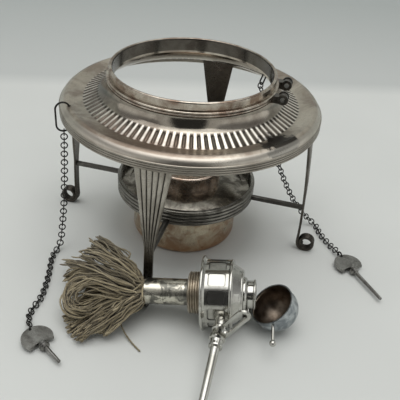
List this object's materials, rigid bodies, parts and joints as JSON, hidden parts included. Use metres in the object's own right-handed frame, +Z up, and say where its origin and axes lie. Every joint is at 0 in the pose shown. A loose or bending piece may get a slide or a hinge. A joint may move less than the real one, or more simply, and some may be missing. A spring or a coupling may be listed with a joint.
{
  "type": "spirit kettle stand with lamp",
  "caption": "Round footed kettle stand with a fluted top ring, a drop-in spirit lamp, an unscrewed burner head with wick and hinged snuffer, and chained locking pins.",
  "frame": {"origin": "on the axis of the stand, in the flat underside of the lamp's font, which is level with the feet", "axes": "+Z up through the kettle seat, -Y out over the front leg and towards the burner head, +X towards the hinge knuckles"},
  "size_m": [0.2711, 0.3117, 0.138],
  "materials": {
    "silver_dull": "worn silver plate, satin",
    "silver_bright": "polished",
    "silver_dark": "oxidised silver plate",
    "copper_worn": "plate worn through to copper",
    "cotton": "matte string"
  },
  "bodies": {
    "stand": {"top_sheet": "silver_dull", "rim_moulding": "silver_dull", "collar_band": "silver_dull", "collar_base_reeds": "silver_dull", "kettle_knuckle_front": "silver_dull", "kettle_knuckle_back": "silver_dull", "leg_front": "silver_dull", "leg_right": "silver_dull", "leg_back": "silver_dull", "leg_left": "silver_dull", "stretcher_front": "silver_dark", "stretcher_right": "silver_dark", "stretcher_back": "silver_dark", "stretcher_left": "silver_dark", "lamp_ring": "silver_dark", "chain_hook_ring": "silver_dark", "chain_staple": "silver_dark", "chain_left": "silver_dark", "chain_right": "silver_dark", "pin_left_ring": "silver_dark", "pin_right_ring": "silver_dark"},
    "font": {"font_body": "copper_worn", "font_shoulder": "silver_dark", "font_neck": "copper_worn"},
    "burner_head": {"wick_tube": "silver_bright", "screw_collar": "copper_worn", "burner_flange": "silver_bright", "burner_drum": "silver_bright", "drum_bead": "silver_bright", "burner_crown": "silver_bright", "pivot_lugs": "silver_bright", "pivot_pin": "silver_bright", "mouth_tube": "silver_bright", "handle_root": "silver_bright", "handle_socket": "silver_bright", "handle_rod": "silver_bright", "handle_finial": "silver_bright"},
    "snuffer": {"snuffer_cap": "silver_bright", "snuffer_knuckle": "silver_bright", "snuffer_knob": "silver_bright"},
    "lever": {"slotted_lever": "silver_bright"},
    "wick_body": {"wick": "cotton"},
    "left_pin": {"pin_left_thumb_plate": "silver_dark", "pin_left_collar": "silver_dark", "pin_left_shank": "silver_dark"},
    "right_pin": {"pin_right_thumb_plate": "silver_dark", "pin_right_collar": "silver_dark", "pin_right_shank": "silver_dark"}
  },
  "joints": [
    {"name": "font_lift", "type": "slide", "parent": "stand", "child": "font", "axis": [0, 0, 1], "range_m": [0, 0.16]},
    {"name": "head_lift", "type": "slide", "parent": "stand", "child": "burner_head", "axis": [0, 0, 1], "range_m": [0, 0.04]},
    {"name": "snuffer_hinge", "type": "hinge", "parent": "burner_head", "child": "snuffer", "pos_m": [0.07194, -0.09562, 0.00994], "axis": [-0.1642, 0.9693, 0.1828], "range_deg": [-60, 0]},
    {"name": "lever_turn", "type": "hinge", "parent": "burner_head", "child": "lever", "pos_m": [0.05931, -0.13533, 0.01985], "axis": [-0.0432, 0.9798, 0.1952], "range_deg": [-20, 60]},
    {"name": "wick_feed", "type": "slide", "parent": "burner_head", "child": "wick_body", "axis": [-0.9829, -0.1451, -0.1132], "range_m": [0, 0.005]},
    {"name": "left_pin_swing", "type": "hinge", "parent": "stand", "child": "left_pin", "pos_m": [-0.06145, -0.1526, 0.0035], "axis": [0, 0, 1], "range_deg": [-25, 25]},
    {"name": "right_pin_swing", "type": "hinge", "parent": "stand", "child": "right_pin", "pos_m": [0.13116, -0.00576, 0.0035], "axis": [0, 0, 1], "range_deg": [-25, 25]}
  ]
}
